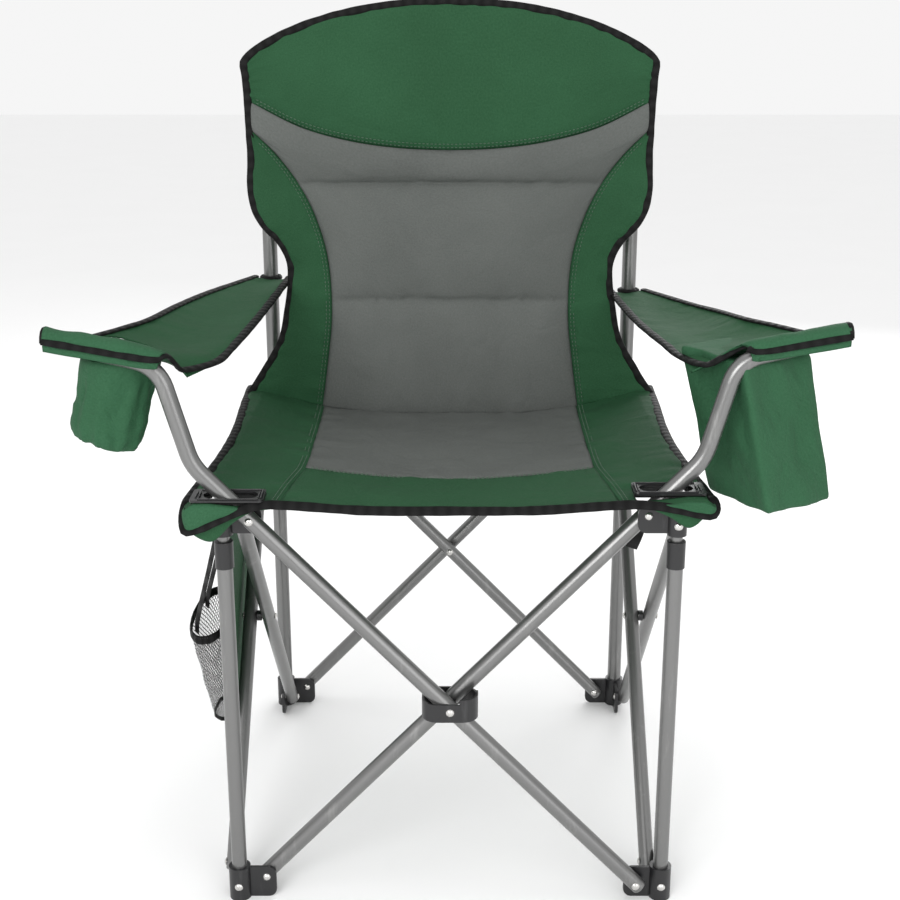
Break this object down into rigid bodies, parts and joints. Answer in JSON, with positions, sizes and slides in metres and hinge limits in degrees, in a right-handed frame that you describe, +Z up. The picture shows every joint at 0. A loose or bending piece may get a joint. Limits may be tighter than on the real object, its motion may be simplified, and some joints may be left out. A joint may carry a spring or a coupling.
{
  "type": "folding camp chair",
  "caption": "Folding camp chair on a scissor frame of steel tube, with a padded sling seat and back, cloth armrests, a cup holder, a cooler bag and a mesh pouch.",
  "frame": {"origin": "centre of the chair's footprint at floor level, at the middle of the overall box", "axes": "+Z up, -Y towards the front of the seat, +X towards the armrest that carries the cooler bag"},
  "size_m": [0.864, 0.5634, 1.037],
  "materials": {
    "tube_paint": "satin grey powder coat",
    "black_plastic": "moulded, slightly glossy",
    "rivet_steel": "bright plated",
    "seat_cloth": "woven polyester, grey with green sides",
    "back_cloth": "padded woven polyester, grey with green sides",
    "green_cloth": "woven polyester, dark green",
    "mesh_cloth": "open black mesh",
    "webbing": "ribbed black webbing"
  },
  "bodies": {
    "rear_left_leg": {"rear_left_foot": "black_plastic", "rear_left_foot_rivets": "rivet_steel", "rear_left_upright": "tube_paint", "rear_left_upright_cap": "black_plastic", "back_panel": "back_cloth"},
    "left_inner_link": {"left_inner_tube": "tube_paint", "left_cross_rivet": "rivet_steel", "left_cross_spacer": "black_plastic"},
    "left_outer_link": {"left_outer_tube": "tube_paint"},
    "front_left_leg": {"front_left_foot": "black_plastic", "front_left_foot_rivets": "rivet_steel", "front_left_lower_post": "tube_paint", "front_left_collar": "black_plastic"},
    "front_left_top": {"front_left_hub": "black_plastic", "front_left_hub_rivets": "rivet_steel", "front_left_inner_post": "tube_paint", "left_corner_plate": "black_plastic"},
    "rear_left_top": {"rear_left_slider": "black_plastic", "rear_left_slider_rivets": "rivet_steel", "organiser_panel": "green_cloth", "organiser_straps": "webbing", "mesh_pouch": "mesh_cloth"},
    "right_arm_link": {"right_arm_tube": "tube_paint", "right_arm_cap": "black_plastic", "right_armrest": "green_cloth", "cooler_bag": "green_cloth"},
    "left_arm_link": {"left_arm_tube": "tube_paint", "left_arm_cap": "black_plastic", "left_armrest": "green_cloth", "cup_holder": "green_cloth"},
    "front_cross": {"front_cross_loop": "black_plastic", "front_cross_rivet": "rivet_steel", "front_cross_spacer": "black_plastic"},
    "front_right_leg": {"front_right_foot": "black_plastic", "front_right_foot_rivets": "rivet_steel", "front_right_lower_post": "tube_paint", "front_right_collar": "black_plastic"},
    "front_right_top": {"front_right_hub": "black_plastic", "front_right_hub_rivets": "rivet_steel", "front_right_inner_post": "tube_paint", "right_corner_plate": "black_plastic", "tie_strap": "webbing"},
    "rear_outer_link": {"rear_outer_tube": "tube_paint", "rear_cross_rivet": "rivet_steel", "rear_cross_spacer": "black_plastic"},
    "rear_inner_link": {"rear_inner_tube": "tube_paint"},
    "rear_right_leg": {"rear_right_foot": "black_plastic", "rear_right_foot_rivets": "rivet_steel", "rear_right_upright": "tube_paint", "rear_right_upright_cap": "black_plastic"},
    "rear_right_top": {"rear_right_slider": "black_plastic", "rear_right_slider_rivets": "rivet_steel"},
    "right_outer_link": {"right_outer_tube": "tube_paint", "right_cross_rivet": "rivet_steel", "right_cross_spacer": "black_plastic"},
    "right_inner_link": {"right_inner_tube": "tube_paint"},
    "seat": {"seat_panel": "seat_cloth"},
    "left_ring": {"left_armrest_ring": "webbing"},
    "right_ring": {"right_armrest_ring": "webbing"}
  },
  "joints": [
    {"name": "fold", "type": "hinge", "parent": "rear_left_leg", "child": "left_inner_link", "pos_m": [-0.2415, 0.22625, 0.026], "axis": [-1, 0, 0], "range_deg": [0, 38.5], "deforming": ["seat_panel", "back_panel", "left_armrest", "right_armrest", "cup_holder", "cooler_bag", "organiser_panel", "organiser_straps", "mesh_pouch"]},
    {"name": "left_cross_pivot", "type": "hinge", "parent": "left_inner_link", "child": "left_outer_link", "pos_m": [-0.2535, 0.00475, 0.257], "axis": [1, 0, 0], "range_deg": [0, 77]},
    {"name": "front_left_foot_pivot", "type": "hinge", "parent": "left_outer_link", "child": "front_left_leg", "pos_m": [-0.2655, -0.21675, 0.026], "axis": [-1, 0, 0], "range_deg": [0, 38.5]},
    {"name": "front_left_hub_pivot", "type": "hinge", "parent": "left_inner_link", "child": "front_left_top", "pos_m": [-0.2415, -0.21675, 0.488], "axis": [1, 0, 0], "range_deg": [0, 38.5]},
    {"name": "rear_left_slider_pivot", "type": "hinge", "parent": "left_outer_link", "child": "rear_left_top", "pos_m": [-0.2655, 0.22625, 0.488], "axis": [-1, 0, 0], "range_deg": [0, 38.5]},
    {"name": "front_left_arm_pivot", "type": "hinge", "parent": "front_left_leg", "child": "right_arm_link", "pos_m": [-0.2215, -0.23675, 0.026], "axis": [0, -1, 0], "range_deg": [0, 38.5]},
    {"name": "front_cross_pivot", "type": "hinge", "parent": "right_arm_link", "child": "left_arm_link", "pos_m": [0, -0.24875, 0.257], "axis": [0, 1, 0], "range_deg": [0, 77]},
    {"name": "front_loop_pivot", "type": "hinge", "parent": "right_arm_link", "child": "front_cross", "pos_m": [0, -0.24875, 0.257], "axis": [0, 1, 0], "range_deg": [0, 38.5]},
    {"name": "front_right_foot_pivot", "type": "hinge", "parent": "left_arm_link", "child": "front_right_leg", "pos_m": [0.2215, -0.26075, 0.026], "axis": [0, -1, 0], "range_deg": [0, 38.5]},
    {"name": "front_right_hub_pivot", "type": "hinge", "parent": "right_arm_link", "child": "front_right_top", "pos_m": [0.2215, -0.23675, 0.488], "axis": [0, 1, 0], "range_deg": [0, 38.5]},
    {"name": "rear_left_foot_pivot", "type": "hinge", "parent": "rear_left_leg", "child": "rear_outer_link", "pos_m": [-0.2215, 0.27025, 0.026], "axis": [0, -1, 0], "range_deg": [0, 38.5]},
    {"name": "rear_cross_pivot", "type": "hinge", "parent": "rear_outer_link", "child": "rear_inner_link", "pos_m": [0, 0.25825, 0.257], "axis": [0, 1, 0], "range_deg": [0, 77]},
    {"name": "rear_right_foot_pivot", "type": "hinge", "parent": "rear_inner_link", "child": "rear_right_leg", "pos_m": [0.2215, 0.24625, 0.026], "axis": [0, -1, 0], "range_deg": [0, 38.5]},
    {"name": "rear_right_slider_pivot", "type": "hinge", "parent": "rear_outer_link", "child": "rear_right_top", "pos_m": [0.2215, 0.27025, 0.488], "axis": [0, 1, 0], "range_deg": [0, 38.5]},
    {"name": "right_foot_pivot", "type": "hinge", "parent": "rear_right_leg", "child": "right_outer_link", "pos_m": [0.2655, 0.22625, 0.026], "axis": [-1, 0, 0], "range_deg": [0, 38.5]},
    {"name": "right_cross_pivot", "type": "hinge", "parent": "right_outer_link", "child": "right_inner_link", "pos_m": [0.2535, 0.00475, 0.257], "axis": [1, 0, 0], "range_deg": [0, 77]},
    {"name": "seat_fold", "type": "hinge", "parent": "rear_left_leg", "child": "seat", "pos_m": [0, 0.19, 0.514], "axis": [-1, 0, 0], "range_deg": [0, 90.01]},
    {"name": "left_ring_slide", "type": "slide", "parent": "rear_left_leg", "child": "left_ring", "axis": [0, 0, 1], "range_m": [0, 0.0275]},
    {"name": "right_ring_slide", "type": "slide", "parent": "rear_right_leg", "child": "right_ring", "axis": [0, 0, 1], "range_m": [0, 0.0495]}
  ],
  "couplings": [
    {"joint": "left_cross_pivot", "follows": "fold", "ratio": 2},
    {"joint": "front_left_foot_pivot", "follows": "fold", "ratio": 1},
    {"joint": "front_left_hub_pivot", "follows": "fold", "ratio": 1},
    {"joint": "rear_left_slider_pivot", "follows": "fold", "ratio": 1},
    {"joint": "front_left_arm_pivot", "follows": "fold", "ratio": 1},
    {"joint": "front_cross_pivot", "follows": "fold", "ratio": 2},
    {"joint": "front_loop_pivot", "follows": "fold", "ratio": 1},
    {"joint": "front_right_foot_pivot", "follows": "fold", "ratio": 1},
    {"joint": "front_right_hub_pivot", "follows": "fold", "ratio": 1},
    {"joint": "rear_left_foot_pivot", "follows": "fold", "ratio": 1},
    {"joint": "rear_cross_pivot", "follows": "fold", "ratio": 2},
    {"joint": "rear_right_foot_pivot", "follows": "fold", "ratio": 1},
    {"joint": "rear_right_slider_pivot", "follows": "fold", "ratio": 1},
    {"joint": "right_foot_pivot", "follows": "fold", "ratio": 1},
    {"joint": "right_cross_pivot", "follows": "fold", "ratio": 2},
    {"joint": "seat_fold", "follows": "fold", "ratio": 2.3377},
    {"joint": "left_ring_slide", "follows": "fold", "m_per_rad": 0.0405},
    {"joint": "right_ring_slide", "follows": "fold", "m_per_rad": 0.0729}
  ]
}
